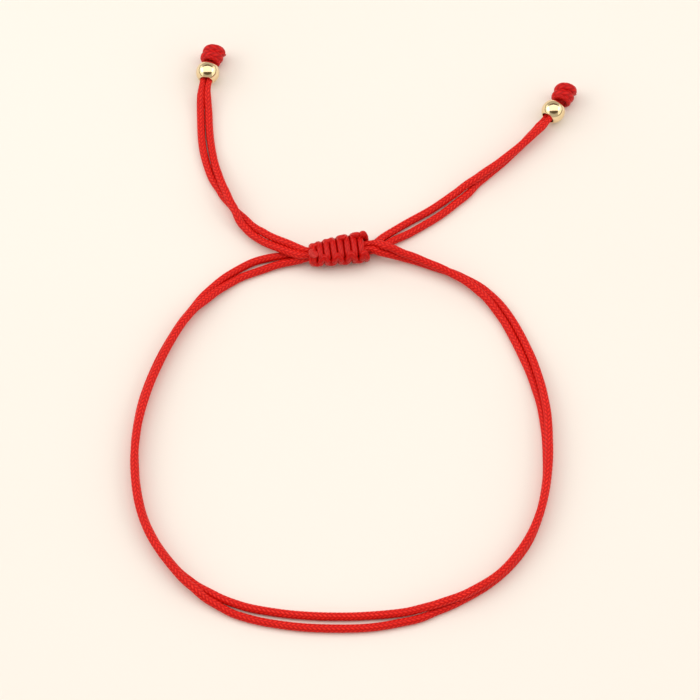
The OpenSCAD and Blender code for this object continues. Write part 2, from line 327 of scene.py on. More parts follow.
def smooth_line(rows):
    """A smooth line through rows of numbers, with a few more rows between each two."""
    rows = np.array(rows, dtype=float)
    made = []
    for i in range(len(rows) - 1):
        p, q = rows[i], rows[i + 1]
        before = rows[i - 1] if i else p
        after = rows[i + 2] if i + 2 < len(rows) else q
        for k in range(CURVE_STEPS):
            made.append(cubic(p, q, (q - before) / 2, (after - p) / 2, k / CURVE_STEPS))
    made.append(rows[-1])
    return np.array(made)


def even_steps(rows, spacing):
    """The same line with its rows an even distance apart, and how far along each is."""
    run = np.linalg.norm(np.diff(rows[:, :3], axis=0), axis=1)
    reached = np.concatenate(([0], np.cumsum(run)))
    count = max(4, round(reached[-1] / spacing))
    along = np.linspace(0, reached[-1], count + 1)
    return np.column_stack([np.interp(along, reached, column) for column in rows.T]), along


def ring_directions(centres):
    """Heading, side and up of the ring at each centre, carried along without twist."""
    headings = np.gradient(centres, axis=0)
    headings /= np.linalg.norm(headings, axis=1)[:, None]
    start = np.array((0, 0, 1.0)) if abs(headings[0, 2]) < 0.9 else np.array((1.0, 0, 0))
    side = unit(np.cross(start, headings[0]))
    sides = []
    for heading in headings:
        side = unit(side - side.dot(heading) * heading)
        sides.append(side)
    sides = np.array(sides)
    return headings, sides, np.cross(headings, sides)


def slow_wander(along, wave, seed):
    """A smooth random line from -1 to 1 with bends about one wave length apart."""
    random = np.random.default_rng(seed)
    knots = int(along[-1] / wave) + 3
    heights = random.uniform(-1, 1, knots)
    place = along / wave
    i = np.floor(place).astype(int)
    t = place - i
    t = t * t * (3 - 2 * t)
    return heights[i] * (1 - t) + heights[i + 1] * t


hoop = smooth_line(((0, 0, 0), (0, 1, 0), (1, 1, 0), (1, 0, 0)))
print(f"a hoop of 4 points: {len(hoop)} rows, {line_length(hoop):.2f} long")

# %% [markdown]
# ## One mesh for any cord
# Every cord of the bracelet is made by the same helper: free strands, the knotting
# cord, and the stopper knots differ only in line, thickness and how deep the braid
# stands. The mesh gets a UV map called `braid`, u in turns round the cord and v in
# millimetres along it, which the material reads to find each yarn again.

# %% Build a braided cord
ROUND = 40
RING_STEP = BRAID_PITCH / 5
FULL_RELIEF = 1.0
ROLL = 0.06
ROLL_WAVE = 14
SWELL = 0.012
SWELL_WAVE = 3.5


def corner_uv(*corners):
    """Puts the (u, v) of the four corners of each quad together."""
    return np.stack([np.stack(corner, -1) for corner in corners], axis=2)


class CordMesh:
    """Collects the points and faces of tubes and caps for one Blender mesh."""

    def __init__(self):
        self.points = []
        self.quads = []
        self.triangles = []
        self.count = 0

    def add_points(self, points):
        first = self.count
        self.points.append(points)
        self.count += len(points)
        return first


def add_tube(mesh, rows, relief, seed, round_count=ROUND, step=RING_STEP, pitch=BRAID_PITCH,
             ends=("flat", "flat")):
    """Adds a braided tube along rows of x, y, z and diameter. Returns its ring centres."""
    rows, along = even_steps(rows, step)
    centres, diameters = rows[:, :3], rows[:, 3]
    headings, sides, ups = ring_directions(centres)
    turns = np.arange(round_count) / round_count
    roll = ROLL * slow_wander(along, ROLL_WAVE, seed)
    angles = 2 * np.pi * (turns[None] + roll[:, None])
    swell = 1 + SWELL * slow_wander(along, SWELL_WAVE, seed + 1)
    depth = braid_relief(turns[None], along[:, None], pitch)
    radius = (diameters * swell / 2)[:, None] - relief * depth * (diameters / CORD_D)[:, None]
    ring = (np.cos(angles)[..., None] * sides[:, None] + np.sin(angles)[..., None] * ups[:, None])
    points = centres[:, None] + radius[..., None] * ring
    first = mesh.add_points(points.reshape(-1, 3))
    rings = len(rows)
    k = np.arange(round_count)
    i = np.arange(rings - 1)[:, None]
    here = first + i * round_count + k
    beside = first + i * round_count + (k + 1) % round_count
    corners = np.stack([here, beside, beside + round_count, here + round_count], axis=-1)
    u = np.broadcast_to(k / round_count, here.shape)
    v = np.broadcast_to(along[:-1, None], here.shape)
    v_next = np.broadcast_to(along[1:, None], here.shape)
    u_next = u + 1 / round_count
    uv = corner_uv((u, v), (u_next, v), (u_next, v_next), (u, v_next))
    mesh.quads.append((corners.reshape(-1, 4), uv.reshape(-1, 4, 2), 0))
    last = first + (rings - 1) * round_count
    add_end(mesh, centres[0], -headings[0], points[0], diameters[0] / 2, ends[0], True,
            first, along[0])
    add_end(mesh, centres[-1], headings[-1], points[-1], diameters[-1] / 2, ends[1], False,
            last, along[-1])
    return centres


print(f"a cord has a ring of {ROUND} points every {RING_STEP:.2f} mm")

# %% [markdown]
# ## Cut ends
# Nylon cord is cut with a hot blade or held to a flame, so its end melts into a small
# hard lip with a dished middle. An end that is pressed down while it is soft spreads
# into a button. A flat cap would look sawn. The cap below is a few rings with a
# profile: out over the lip, in and down to the dish. Ends that lie hidden inside a knot
# get a plain closed cap.

# %% Close the end of a cord
MELTED_PROFILE = ((1.0, 0.02), (1.07, 0.10), (1.08, 0.2), (1.0, 0.29), (0.86, 0.31),
                  (0.74, 0.24), (0.6, 0.19), (0.35, 0.17), (0.12, 0.2))
PRESSED_PROFILE = ((1.2, 0.02), (1.45, 0.14), (1.62, 0.34), (1.68, 0.58), (1.62, 0.8),
                   (1.46, 0.93), (1.3, 0.93), (1.16, 0.84), (0.8, 0.8), (0.3, 0.8))
FLAT_PROFILE = ((0.6, 0.0),)
END_PROFILES = {"melted": MELTED_PROFILE, "pressed": PRESSED_PROFILE, "flat": FLAT_PROFILE}


def add_end(mesh, centre, out, rim, radius, kind, is_start, rim_first, along):
    """Closes a tube: rings of (share of radius, how far out), then a middle point."""
    profile = END_PROFILES[kind]
    count = len(rim)
    spokes = (rim - centre) - np.outer((rim - centre) @ out, out)
    spokes /= np.linalg.norm(spokes, axis=1)[:, None]
    k = np.arange(count)
    after = (k + 1) % count
    # the order of the corners decides that the faces look outwards
    p, q = (after, k) if is_start else (k, after)
    uv = np.zeros((count, 4, 2))
    uv[..., 0] = (k / count)[:, None]
    uv[..., 1] = along
    lower = rim_first
    slot = 0 if kind == "flat" else 1
    for share, height in profile:
        upper = mesh.add_points(centre + spokes * radius * share + out * radius * height)
        corners = np.stack([lower + p, lower + q, upper + q, upper + p], -1)
        mesh.quads.append((corners, uv, slot))
        lower = upper
    tip = mesh.add_points((centre + out * radius * profile[-1][1])[None])
    corners = np.stack([lower + p, lower + q, np.full(count, tip)], -1)
    mesh.triangles.append((corners, uv[:, :3], slot))


print("cord ends:", ", ".join(END_PROFILES))

# %% [markdown]
# ### Handing the mesh to Blender
# A bracelet of real braid has a few hundred thousand faces. Making them one by one in
# bmesh takes long, so the arrays are written into the mesh in one go with foreach_set.
# All faces are shaded smooth: the relief is fine enough to need no hard edge. Each
# piece then rides on the one body, and the solid that it stands for is hidden.

# %% Write a mesh and dress a node
def build_object(name, mesh, materials):
    """Writes the collected points and faces into an object at the origin, in metres."""
    points = np.concatenate(mesh.points) * MM
    groups = mesh.quads + mesh.triangles
    faces = [corners for corners, uv, slot in groups]
    uvs = [uv.reshape(-1) for corners, uv, slot in groups]
    slots = [np.full(len(corners), slot) for corners, uv, slot in groups]
    sizes = np.concatenate([np.full(len(f), f.shape[1]) for f in faces])
    loops = np.concatenate([f.reshape(-1) for f in faces])
    data = bpy.data.meshes.new(name)
    data.vertices.add(len(points))
    data.vertices.foreach_set("co", points.astype(np.float32).ravel())
    data.loops.add(len(loops))
    data.loops.foreach_set("vertex_index", loops.astype(np.int32))
    data.polygons.add(len(sizes))
    starts = np.concatenate(([0], np.cumsum(sizes)[:-1]))
    data.polygons.foreach_set("loop_start", starts.astype(np.int32))
    data.polygons.foreach_set("material_index", np.concatenate(slots).astype(np.int32))
    layer = data.uv_layers.new(name="braid")
    layer.data.foreach_set("uv", np.concatenate(uvs).astype(np.float32))
    data.update(calc_edges=True)
    data.validate()
    data.polygons.foreach_set("use_smooth", np.ones(len(data.polygons), dtype=bool))
    for material in materials:
        data.materials.append(material)
    made = bpy.data.objects.new(name, data)
    bpy.context.scene.collection.objects.link(made)
    triangles = int((sizes - 2).sum())
    print(f"{name}: {triangles} triangles")
    return made


def dress(piece, node):
    """The piece rides on the one body, and the CAD node that it stands for is hidden."""
    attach(piece, "root")
    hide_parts(node)


# %% [markdown]
# ## Effects that several materials share
# The braid, the fibres in a yarn and the wear of a surface are each a shader node group,
# so that every material can use them with its own numbers. A small helper keeps the
# chains of Math nodes short enough to read.

# %% Helpers for node groups
def new_group(name, inputs, outputs):
    """A node group. An input without a value is a vector, all the others are numbers."""
    tree = bpy.data.node_groups.new(name, "ShaderNodeTree")
    for label, value in inputs.items():
        kind = "NodeSocketVector" if value is None else "NodeSocketFloat"
        socket = tree.interface.new_socket(label, in_out="INPUT", socket_type=kind)
        if value is not None:
            socket.default_value = value
    for label in outputs:
        tree.interface.new_socket(label, in_out="OUTPUT", socket_type="NodeSocketFloat")
    return tree, tree.nodes.new("NodeGroupInput"), tree.nodes.new("NodeGroupOutput")


def feed(tree, node, values):
    """Gives each input of a node its plain value, or links it to another node."""
    for label, value in values.items():
        if isinstance(value, bpy.types.NodeSocket):
            tree.links.new(value, node.inputs[label])
        else:
            node.inputs[label].default_value = value


def calculate(tree, operation, *values):
    node = tree.nodes.new("ShaderNodeMath")
    node.operation = operation
    feed(tree, node, dict(enumerate(values)))
    return node.outputs[0]


def remap(tree, value, low, high, new_low=0.0, new_high=1.0):
    """Eases from new_low to new_high while the value goes from low to high."""
    node = tree.nodes.new("ShaderNodeMapRange")
    node.interpolation_type = "SMOOTHSTEP"
    feed(tree, node, {"Value": value, "From Min": low, "From Max": high,
                      "To Min": new_low, "To Max": new_high})
    return node.outputs[0]


def choose(tree, share, first, second):
    """first where share is 0, second where it is 1."""
    node = tree.nodes.new("ShaderNodeMix")
    node.data_type = "FLOAT"
    feed(tree, node, {0: share, 2: first, 3: second})
    return node.outputs[0]


def mix_colours(tree, share, first, second):
    node = tree.nodes.new("ShaderNodeMix")
    node.data_type = "RGBA"
    feed(tree, node, {0: share, 6: first, 7: second})
    return node.outputs[2]


def noise(tree, vector, scale, detail, roughness=0.5):
    node = tree.nodes.new("ShaderNodeTexNoise")
    feed(tree, node, {"Vector": vector, "Scale": scale, "Detail": detail,
                      "Roughness": roughness})
    return node.outputs["Fac"]


print("helpers: new_group, feed, calculate, remap, choose, mix_colours, noise")

# %% [markdown]
# ### The braid again, in nodes
# This group repeats the sum that made the relief, at every point of the surface, so the
# colour and the fine bump land exactly on the yarns. `Crown` is 1 on the back of a
# yarn that lies on top and 0 in the grooves, `Height` rises smoothly between them,
# `Across` and `Along` are places within a yarn, and `Yarn` is a number that differs
# from yarn to yarn.

# %% Node group: braided yarns
ARCH_SHARE = 0.6
GROOVE_LEVEL = 0.15
CROWN_LEVEL = 0.9

braid_group, given, result = new_group(
    "braided_yarns", {"UV": None, "Yarns": YARNS, "Pitch": BRAID_PITCH},
    ("Crown", "Height", "Across", "Along", "Yarn"))
tree = braid_group
split = tree.nodes.new("ShaderNodeSeparateXYZ")
feed(tree, split, {0: given.outputs["UV"]})
turned = calculate(tree, "MULTIPLY", split.outputs[0], given.outputs["Yarns"])
moved = calculate(tree, "DIVIDE", split.outputs[1], given.outputs["Pitch"])
a = calculate(tree, "ADD", turned, moved)
b = calculate(tree, "SUBTRACT", turned, moved)
i = calculate(tree, "FLOOR", a)
j = calculate(tree, "FLOOR", b)
phase_a = calculate(tree, "FLOORED_MODULO", calculate(tree, "ADD", i, b), REPEAT)
phase_b = calculate(tree, "FLOORED_MODULO", calculate(tree, "ADD", j, a), REPEAT)
place = calculate(tree, "FLOORED_MODULO", calculate(tree, "ADD", i, j), REPEAT)
b_on_top = calculate(tree, "GREATER_THAN", place, REPEAT / 2 - 0.5)
across = choose(tree, b_on_top, calculate(tree, "SUBTRACT", a, i),
                calculate(tree, "SUBTRACT", b, j))
along = choose(tree, b_on_top, b, a)
# a yarn on top rises and falls over half of the repeat
top_phase = choose(tree, b_on_top, phase_a, calculate(tree, "SUBTRACT", phase_b, REPEAT / 2))
arch = calculate(tree, "SINE", calculate(tree, "MULTIPLY", top_phase, 2 * math.pi / REPEAT))
arch = calculate(tree, "MAXIMUM", arch, 0.0)
centred = calculate(tree, "MULTIPLY_ADD", across, 2.0, -1.0)
round_top = calculate(tree, "SUBTRACT", 1.0, calculate(tree, "MULTIPLY", centred, centred))
arched = calculate(tree, "MULTIPLY_ADD", arch, ARCH_SHARE, 1 - ARCH_SHARE)
height = calculate(tree, "MULTIPLY", round_top, arched)
crown = remap(tree, height, GROOVE_LEVEL, CROWN_LEVEL)
# numbers that no two yarns near each other share
number = choose(tree, b_on_top, calculate(tree, "MULTIPLY", i, 1.37),
                calculate(tree, "MULTIPLY_ADD", j, 1.73, 11.5))
feed(tree, result, {"Crown": crown, "Height": height, "Across": across, "Along": along,
                    "Yarn": number})
print("braided_yarns:", len(tree.nodes), "nodes")

# %% [markdown]
# ### Fibres in a yarn
# A nylon yarn is a flat bundle of bright filaments. They run along the yarn, so a noise
# that is fine across it and stretched along it gives the streaks that catch the light. The
# cord material uses them in its roughness and bump, and to break up its painted highlight.

# %% Node group: filaments
FINENESS = 9.0
ALONG_SCALE = 0.9

fibre_group, given, result = new_group(
    "filaments", {"Across": 0, "Along": 0, "Yarn": 0, "Fineness": FINENESS},
    ("Streaks", "Tone"))
tree = fibre_group
join = tree.nodes.new("ShaderNodeCombineXYZ")
across = calculate(tree, "MULTIPLY", given.outputs["Across"], given.outputs["Fineness"])
along = calculate(tree, "MULTIPLY", given.outputs["Along"], ALONG_SCALE)
feed(tree, join, {0: across, 1: along, 2: given.outputs["Yarn"]})
streaks = noise(tree, join.outputs[0], scale=1.0, detail=3.0, roughness=0.6)
random = tree.nodes.new("ShaderNodeTexWhiteNoise")
random.noise_dimensions = "1D"
feed(tree, random, {"W": given.outputs["Yarn"]})
feed(tree, result, {"Streaks": streaks, "Tone": random.outputs["Value"]})
print("filaments:", len(tree.nodes), "nodes")

# %% [markdown]
# ### Wear
# Cord that has been handled is a little uneven: it takes dye better in some places and
# its filaments are rubbed in others. Metal has the same kind of change, as faint rubbed
# patches. One group gives both: a broad patch and a fine grain, from the place on the
# object.

# %% Node group: wear
PATCH_LEVELS = (0.3, 0.7)
GRAIN_LEVELS = (0.25, 0.75)

wear_group, given, result = new_group(
    "wear", {"Position": None, "Patch size": 8 * MM, "Grain size": 0.4 * MM},
    ("Patches", "Grain"))
tree = wear_group
patch_scale = calculate(tree, "DIVIDE", 1.0, given.outputs["Patch size"])
grain_scale = calculate(tree, "DIVIDE", 1.0, given.outputs["Grain size"])
patches = noise(tree, given.outputs["Position"], patch_scale, detail=2.0)
grain = noise(tree, given.outputs["Position"], grain_scale, detail=3.0)
feed(tree, result, {"Patches": remap(tree, patches, *PATCH_LEVELS),
                    "Grain": remap(tree, grain, *GRAIN_LEVELS)})
print("wear:", len(tree.nodes), "nodes")

# %% [markdown]
# ## Dyed nylon cord
# The cord's colour comes from three reds: a strong red on the yarns, a deep red in the
# grooves, which is painted shade, and a coral tone on their crowns, where the filaments
# shine, which is a painted highlight. One red with a bump would look like a plastic tube.
# The same material is made three times. The free cord is the lightest. The knotting cord
# is the glossiest, because it is pulled tight and its yarns lie flat, and its reds are
# the darkest, as painted shade of the tight knot. The stopper knots are between the two,
# and their darker reds are painted shade too. The Principled shader adds a satin gloss
# and a trace of sheen from loose filaments.

# %% Cord material
# where the painted highlight on the crowns starts, and how the streaks dim it
SHINE_FROM = 0.55
STREAK_LEVELS = (0.35, 0.7)
DULL_STREAK = 0.35
PATCH_SHARE, PATCH_SHADE = 0.22, 0.72
TONE_SHARE, TONE_SHADE = 0.16, 0.55
STREAK_ROUGH = 0.16
GRAIN_ROUGH = 0.08
STREAK_HEIGHT = 0.35
SATIN_LEVEL = 0.2


def group_node(tree, group, values):
    node = tree.nodes.new("ShaderNodeGroup")
    node.node_tree = group
    feed(tree, node, values)
    return node


def wear_node(tree, patch_size, grain_size):
    """The wear group, told the place on the object."""
    position = tree.nodes.new("ShaderNodeTexCoord")
    return group_node(tree, wear_group, {"Position": position.outputs["Object"],
                                         "Patch size": patch_size, "Grain size": grain_size})


def new_material(name):
    material = bpy.data.materials.new(name)
    material.use_nodes = True
    tree = material.node_tree
    shader = next(n for n in tree.nodes if n.type == "BSDF_PRINCIPLED")
    return material, tree, shader


def add_bump(tree, shader, height, strength, distance):
    dent = tree.nodes.new("ShaderNodeBump")
    feed(tree, dent, {"Height": height, "Strength": strength, "Distance": distance})
    feed(tree, shader, {"Normal": dent.outputs[0]})


def shaded(colour, share):
    return tuple(share * v for v in colour[:3]) + (1,)


# the groove colour is painted shade, the crown colour a painted highlight, the body colour the
# dyed red
def cord_material(name, groove_shade, body, crown, highlight_share, pitch, roughness, bump):
    material, tree, shader = new_material(name)
    uv = tree.nodes.new("ShaderNodeUVMap")
    uv.uv_map = "braid"
    braid = group_node(tree, braid_group, {"UV": uv.outputs[0], "Pitch": pitch})
    fibres = group_node(tree, fibre_group, {label: braid.outputs[label]
                                            for label in ("Across", "Along", "Yarn")})
    worn = wear_node(tree, patch_size=7 * MM, grain_size=0.35 * MM)
    crown_mask = braid.outputs["Crown"]
    streaks = fibres.outputs["Streaks"]
    # painted shade: the grooves between the yarns are coloured a deeper red than the body
    colour = mix_colours(tree, crown_mask, groove_shade, body)
    # painted highlight: coral on the high crowns of the yarns, broken up by the streaks
    painted_highlight = calculate(tree, "MULTIPLY", remap(tree, braid.outputs["Height"], SHINE_FROM, 1.0),
                      remap(tree, streaks, *STREAK_LEVELS, DULL_STREAK, 1.0))
    painted_highlight = calculate(tree, "MULTIPLY", painted_highlight, highlight_share)
    colour = mix_colours(tree, painted_highlight, colour, crown)
    patches = remap(tree, worn.outputs["Patches"], 0.0, 1.0, 0.0, PATCH_SHARE)
    colour = mix_colours(tree, patches, colour, shaded(body, PATCH_SHADE))
    tone = remap(tree, fibres.outputs["Tone"], 0.0, 1.0, 0.0, TONE_SHARE)
    colour = mix_colours(tree, tone, colour, shaded(body, TONE_SHADE))
    rough = calculate(tree, "ADD", roughness, calculate(tree, "MULTIPLY", streaks, STREAK_ROUGH))
    rough = calculate(tree, "ADD", rough, calculate(tree, "MULTIPLY",
                                                    worn.outputs["Grain"], GRAIN_ROUGH))
    feed(tree, shader, {"Base Color": colour, "Roughness": rough, "Sheen Weight": 0.02,
                        "Sheen Roughness": 0.35, "Sheen Tint": (1.0, 0.5, 0.45, 1),
                        "Specular IOR Level": SATIN_LEVEL})
    height = calculate(tree, "ADD", braid.outputs["Height"],
                       calculate(tree, "MULTIPLY", streaks, STREAK_HEIGHT))
    add_bump(tree, shader, height, strength=0.8, distance=bump)
    return material


TIGHT_PITCH = 0.85
free_cord = cord_material(
    "braided_nylon_free", groove_shade=(0.50, 0.0012, 0.0006, 1), body=(0.82, 0.005, 0.0014, 1),
    crown=(0.97, 0.11, 0.06, 1), highlight_share=0.48, pitch=BRAID_PITCH, roughness=0.42,
    bump=0.010 * MM)
# the knotting cord's reds are darker than the free cord's: painted shade of the tight knot
knot_cord = cord_material(
    "braided_nylon_tight", groove_shade=(0.48, 0.0010, 0.0004, 1), body=(0.63, 0.0018, 0.0006, 1),
    crown=(0.90, 0.045, 0.02, 1), highlight_share=0.5, pitch=TIGHT_PITCH, roughness=0.24,
    bump=0.004 * MM)
# the stopper knots' reds are darker than the free cord's: painted shade of the knot
stopper_cord = cord_material(
    "braided_nylon_stopper", groove_shade=(0.42, 0.0008, 0.0008, 1), body=(0.66, 0.002, 0.002, 1),
    crown=(0.86, 0.04, 0.025, 1), highlight_share=0.35, pitch=BRAID_PITCH, roughness=0.38,
    bump=0.008 * MM)
print("cord materials:", free_cord.name, knot_cord.name, stopper_cord.name)

# %% [markdown]
# ## Melted nylon
# Where the flame has touched it, the cord is no longer a braid: it has run together into
# smooth, glassy plastic. The wear group, at a very small scale, gives it clouds of a
# deeper red and a skin of fine ripples.

# %% Melted end material
MELTED_RED = (0.50, 0.004, 0.003, 1)
MELTED_PALE = (0.64, 0.012, 0.008, 1)
MELTED_ROUGH, RIPPLE_ROUGH = 0.24, 0.18

melted, tree, shader = new_material("melted_nylon")
worn = wear_node(tree, patch_size=0.9 * MM, grain_size=0.18 * MM)
colour = mix_colours(tree, worn.outputs["Patches"], MELTED_RED, MELTED_PALE)
rough = calculate(tree, "MULTIPLY_ADD", worn.outputs["Grain"], RIPPLE_ROUGH, MELTED_ROUGH)
feed(tree, shader, {"Base Color": colour, "Roughness": rough})
add_bump(tree, shader, worn.outputs["Grain"], strength=0.5, distance=0.02 * MM)
print("melted nylon made")

# %% [markdown]
# ## The two strands
# Each strand is one long cord from stopper knot to stopper knot, with the length that the
# route gives it. A curve with a bevel would be quicker, but it can't carry the relief of
# the yarns. Its ends lie hidden in the stopper knots.

# %% Strands
def make_strand(name, side, seed):
    mesh = CordMesh()
    rows = strand_line(side)
    centres = add_tube(mesh, rows, FULL_RELIEF, seed)
    piece = build_object(name + "_braid", mesh, [free_cord])
    dress(piece, name)


make_strand("strand_a", side=1, seed=11)
make_strand("strand_b", side=-1, seed=23)

# %% [markdown]
# ## The sliding knot
# The closure is a row of square knots, tied with a separate cord round the four passes
# of the strands. In each half knot one leg goes over the core and the other under it,
# and the leg that comes up from below hooks round the one that lies on top, on the near
# side and on the far side in turn: those hooks are the bumps along the knot's edges.
# The solids show the same knot as one wound cord. Here both legs are followed through
# every crossing, from tables of rows: how far along in pitches, to which side in half
# cores, how far out in cord widths, the level in half cores, and how far up in cord
# widths. A hook's top says HOOK there, because each hook has a height of its own.

# %% Legs of the square knots
KNOT_WRAPS = 8
KNOT_L = 10.9
KNOT_PITCH = (KNOT_L - WRAP_D) / (KNOT_WRAPS + 0.45)
HOOK = None
HOOK_HEIGHTS = (0.855, 0.495, 0.72, 0.45, 0.405, 0.405, 0.27)

OVER_ROWS = ((0, -1, -0.25, 1, 0.3), (0, 0, 0, 1, 0.5), (0, 1, 0.25, 1, 0.3),
             (-0.05, 1, 0.75, 0.45, 0), (0.5, 1, 0.9, -0.1, 0), (1.05, 1, 0.75, 0.45, 0))
UNDER_ROWS = ((0.07, 1, 0.58, 0, 0), (0.07, 1, 0.24, -1, -0.32), (0.07, 0, 0, -1, -0.5),
              (0.07, -1, -0.24, -1, -0.32), (0.07, -1, -0.58, 0, 0),
              (0.07, -1, -0.81, 0.75, 0), (0.57, -1, -0.4, 1, HOOK),
              (1.07, -1, -0.81, 0.75, 0))
OVER_START = ((-0.9, 0, 0, -1, -0.5), (-0.9, -1, -0.2, -1, -0.3), (-0.85, -1, -0.6, 0, 0),
              (-0.75, -1, -0.6, 0.75, 0.1), (-0.45, -1, -0.5, 1, 0.85))
OVER_END = ((0, -1, -0.25, 1, 0.3), (0, 0, 0, 1, 0.5), (0, 1, 0.25, 1, 0.3),
            (0.1, 1, 0.6, 0.3, 0), (0.2, 1, 0.45, -0.5, 0))
UNDER_START = ((-0.7, 0.3, 0, -1, -0.5), (-0.7, 1, 0.2, -1, -0.3), (-0.7, 1, 0.6, 0, 0),
               (-0.65, 1, 0.85, 0.75, 0), (-0.35, 1, 0.5, 1, 0.5), (0, 1, 0.85, 0.75, 0))
UNDER_END = ((0, 1, 0.54, 0, 0), (0, 1, 0.24, -1, -0.32), (0, 0, 0, -1, -0.5),
             (0.1, -1, -0.24, -1, -0.32), (0.2, -1, -0.54, 0, 0), (0.3, -1, -0.7, 0.5, 0),
             (0.32, -1, -0.45, 1, 0.25), (0.24, -1, 0.05, 1, 0.6), (0.14, -1, 0.2, 1, 0.88))
print(f"{KNOT_WRAPS} half knots, one every {KNOT_PITCH:.2f} mm")

# %% [markdown]
# ### Tight at one end
# No hand-tied knot is even, and eight equal wraps would look like a spring. This one is
# fullest at its right end and tightest at its left, where its cord was pulled before it
# was cut. There the wraps lie closer to the strands and a little nearer to the viewer.

# %% Follow a leg through the knot
KNOT_HEADING = math.atan(KNOT_RUN)
LEFT_TIGHTENING = 0.25
LEFT_SAG = 0.35
RIGHT_FULLNESS = 0.08
LEFT_SHIFT = 0.4
WRAPS_AT = (KNOT_AT[0] - LEFT_SHIFT, KNOT_AT[1] - LEFT_SHIFT * KNOT_RUN, KNOT_AT[2])


def knot_point(row, n):
    """A row as a point of the half knot that starts n pitches from the right end."""
    along, side, out, level, up = row
    if up is HOOK:
        up = HOOK_HEIGHTS[n]
    flip = -1 if n % 2 == 0 else 1
    leftward = min(max((n + along) / (KNOT_WRAPS - 1), 0), 1) ** 2
    tight = 1 - LEFT_TIGHTENING * leftward
    return (((KNOT_WRAPS - 1) / 2 - n - along) * KNOT_PITCH,
            flip * (side * CORE_HALF + out * WRAP_D) * (tight + RIGHT_FULLNESS * (1 - leftward))
            - LEFT_SAG * leftward,
            (level * CORE_HALF + up * WRAP_D) * tight, WRAP_D)


def place_at(rows, at, heading):
    """Turns rows about Z and moves them to their place."""
    c, s = math.cos(heading), math.sin(heading)
    placed = rows.copy()
    placed[:, 0] = at[0] + c * rows[:, 0] - s * rows[:, 1]
    placed[:, 1] = at[1] + s * rows[:, 0] + c * rows[:, 1]
    placed[:, 2] += at[2]
    return placed


def knot_leg(start, repeat, end):
    rows = [knot_point(row, 0) for row in start]
    for n in range(KNOT_WRAPS - 1):
        rows += [knot_point(row, n) for row in repeat]
    rows += [knot_point(row, KNOT_WRAPS - 1) for row in end]
    return place_at(smooth_line(rows), WRAPS_AT, KNOT_HEADING)


over_leg = knot_leg(OVER_START, OVER_ROWS, OVER_END)
under_leg = knot_leg(UNDER_START, UNDER_ROWS, UNDER_END)
print(f"legs of {line_length(over_leg):.0f} and {line_length(under_leg):.0f} mm")

# %% [markdown]
# ### The knotting cord
# Both legs go into one mesh, since they are one tied piece. Cord that is pulled this
# tight shows little of its braid, so the relief is only a share of the free cord's. One
# leg ends inside the knot. The other was cut on the near side and pressed flat.

# %% Sliding knot
KNOT_RELIEF = 0.15
KNOT_ROUND = 36
KNOT_STEP = 0.13
mesh = CordMesh()
for seed, rows, ends in ((31, over_leg, ("flat", "flat")), (37, under_leg, ("flat", "pressed"))):
    add_tube(mesh, rows, KNOT_RELIEF, seed, KNOT_ROUND, KNOT_STEP, TIGHT_PITCH, ends)
sliding_knot = build_object("sliding_knot_cord", mesh, [knot_cord, melted])
dress(sliding_knot, "sliding_knot")

# %% [markdown]
# ## Stopper knots
# Behind each bead both strands are tied together and pulled hard, so the knot is a short
# fat barrel. A lump with a crease painted on would lose both at its outline. Here a
# cord is wound round another that goes through and ends in a melted stub: first a thin
# foot beside the bead, then two wraps, thicker than one cord, because both strands lie
# in them. The rows give a place along the knot in knot lengths, a radius, a turn round
# the bore and a share of the thickness. Each knot leans, and `LEAN_ROOM` moves it out
# for each degree, so that it stays clear of its bead.

# %% Wound and through cords
LEFT_BEAD_AT = (-26.5, 48.2, BEAD_D / 2)
LEFT_BEAD_HEADING = math.atan2(4.2, 0.7)
RIGHT_BEAD_AT = (33.5, 40.4, BEAD_D / 2)
RIGHT_BEAD_HEADING = math.atan2(3.4, 2.6)
WOUND_D = 1.8
THROUGH_D = 1.3
LEAN_ROOM = 0.018
STOPPER_STEP = 0.12
WOUND_FROM = 0.23
WOUND_TURN = 0.36
FOOT_AT = 0.13
WOUND_ROWS = ([(FOOT_AT + 0.08, 0.3, -505, 0.3)]
              + [(FOOT_AT, 1.2, t, 0.5) for t in range(-450, -89, 45)]
              + [(0.7 * WOUND_FROM + 0.3 * FOOT_AT, 1.05, -45, 0.85)]
              + [(WOUND_FROM + WOUND_TURN * t / 360, 1, t, 1) for t in range(0, 541, 45)]
              + [(WOUND_FROM + 1.5 * WOUND_TURN, 0.8, 585, 1),
                 (WOUND_FROM + 1.4 * WOUND_TURN, 0.1, 640, 0.3)])
THROUGH_ROWS = [(0.05, 0.05, 160, 1), (0.45, 0.02, 160, 1), (0.75, 0.15, 175, 1),
                (0.86, 0.60, 185, 1), (0.80, 1.10, 190, 1), (0.70, 1.40, 192, 1)]
print(f"beads at {LEFT_BEAD_AT} and {RIGHT_BEAD_AT}")


# %% Stopper knots
def stopper_line(rows, thickness, width, length, roll):
    radius = (width - WOUND_D) / 2
    made = []
    for along, share, turn, thin in rows:
        angle = math.radians(turn + roll)
        made.append((along * length, share * radius * math.cos(angle),
                     share * radius * math.sin(angle), thickness * thin))
    return smooth_line(made)


def make_stopper(name, node, at, heading, lean, width, length, roll, seed):
    mesh = CordMesh()
    offset = BEAD_L / 2 + 3 * PLAY + abs(lean) * LEAN_ROOM
    for rows, thickness, ends in ((WOUND_ROWS, WOUND_D, ("flat", "flat")),
                                  (THROUGH_ROWS, THROUGH_D, ("flat", "melted"))):
        line = stopper_line(rows, thickness, width, length, roll)
        line = place_at(line, (offset, 0, 0), math.radians(lean))
        add_tube(mesh, place_at(line, at, heading), FULL_RELIEF, seed, step=STOPPER_STEP,
                 ends=ends)
        seed += 1
    dress(build_object(name, mesh, [stopper_cord, melted]), node)


